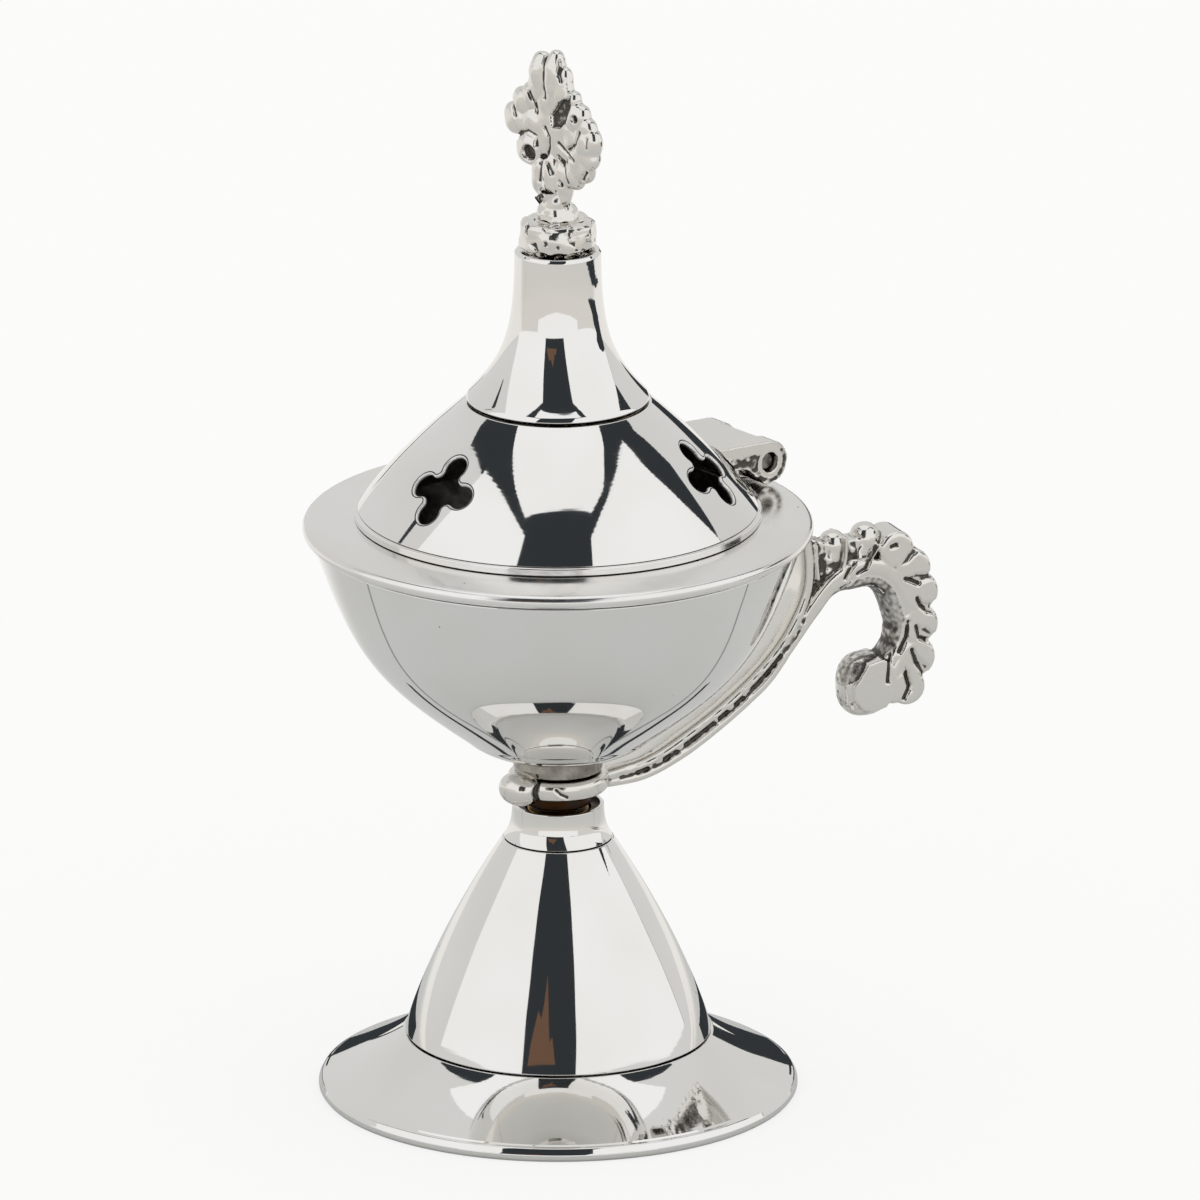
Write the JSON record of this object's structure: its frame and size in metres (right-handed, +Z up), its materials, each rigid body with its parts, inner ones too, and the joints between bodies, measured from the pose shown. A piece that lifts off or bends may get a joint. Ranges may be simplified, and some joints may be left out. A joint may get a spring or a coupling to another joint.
{
  "type": "hand censer",
  "caption": "Footed hand censer with a turned bowl, a hinged pierced lid, a cross finial and a cast scroll handle.",
  "frame": {"origin": "on the surface that the foot stands on, below the middle of the whole object's box; the turning axis is at x = -12.7 mm, y = 0", "axes": "+Z up along the turning axis, +X from the turning axis towards the scroll handle, +Y to the left of the handle"},
  "size_m": [0.1055, 0.0798, 0.17],
  "materials": {
    "polished_nickel": "turned and spun brass, polished and nickel plated",
    "cast_nickel": "sand-cast brass, lightly fettled and nickel plated",
    "brass": "turned brass, unplated",
    "steel": "pressed or drawn steel, dull"
  },
  "bodies": {
    "vessel": {"foot_base": "polished_nickel", "foot_bell": "polished_nickel", "foot_collar": "polished_nickel", "foot_bush": "brass", "spacer_washer": "brass", "bowl_boss": "polished_nickel", "bowl_shell": "polished_nickel", "rim_ring": "polished_nickel", "bolt_washer": "brass", "stem_bolt": "brass", "handle": "cast_nickel", "hinge_lug": "cast_nickel", "hinge_pin": "steel"},
    "lid": {"hinge_leaf": "cast_nickel", "lid_lip": "polished_nickel", "lid_dome": "polished_nickel", "lid_neck": "polished_nickel", "finial_cap": "cast_nickel", "finial_cross": "cast_nickel", "finial_stud": "brass", "finial_washer": "brass", "finial_nut": "brass"},
    "dish": {"ember_dish": "steel"}
  },
  "joints": [
    {"name": "lid_hinge", "type": "hinge", "parent": "vessel", "child": "lid", "pos_m": [0.02246, 0.00942, 0.0975], "axis": [-0.2588, 0.9659, 0], "range_deg": [0, 105]},
    {"name": "dish_lift", "type": "slide", "parent": "vessel", "child": "dish", "axis": [0, 0, 1], "range_m": [0, 0.012]}
  ]
}
